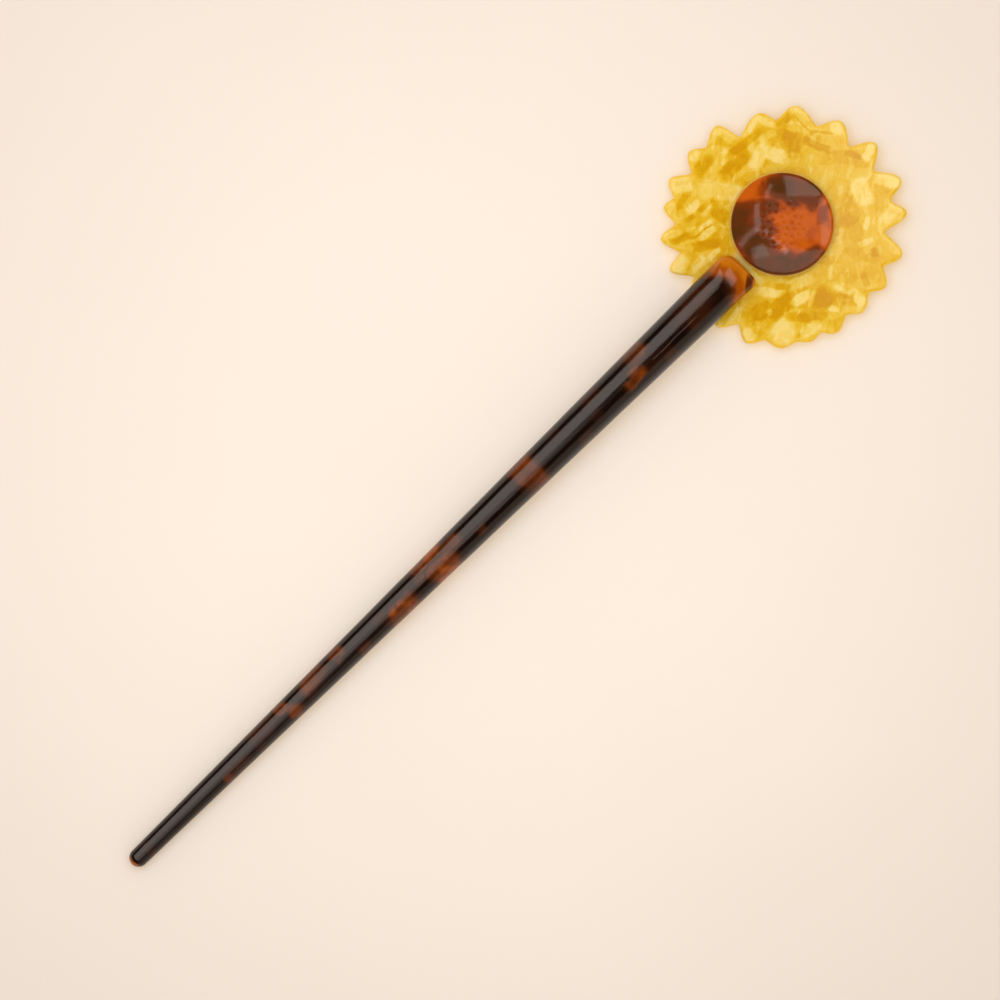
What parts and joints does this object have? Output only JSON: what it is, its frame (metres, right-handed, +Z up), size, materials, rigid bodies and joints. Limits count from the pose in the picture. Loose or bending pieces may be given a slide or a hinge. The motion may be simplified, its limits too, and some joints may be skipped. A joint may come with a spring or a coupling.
{
  "type": "decorative hair pin",
  "caption": "Long tapered acetate hair stick with a flat petalled flower head and a domed round centre, bonded face to face.",
  "frame": {"origin": "middle of the footprint's box, on the surface that the pin lies on", "axes": "+X along the stick from its tip to the flower, +Z up out of the flower's face, +Y completes them; the plate's back is tipped 1.7 degrees up towards +X, as the pin rests on a table"},
  "size_m": [0.19, 0.0434, 0.0105],
  "materials": {
    "stick_acetate": "polished dark tortoiseshell cellulose acetate, nearly black with translucent amber patches",
    "flower_acetate": "polished translucent yellow cellulose acetate, mottled with pearly flakes",
    "disc_acetate": "polished tortoiseshell cellulose acetate, amber with dark brown patches",
    "clear_cement": "clear hardened acetate cement"
  },
  "bodies": {
    "root": {"stick": "stick_acetate", "flower_plate": "flower_acetate", "centre_disc": "disc_acetate", "stick_cement": "clear_cement", "disc_cement": "clear_cement"}
  },
  "joints": []
}
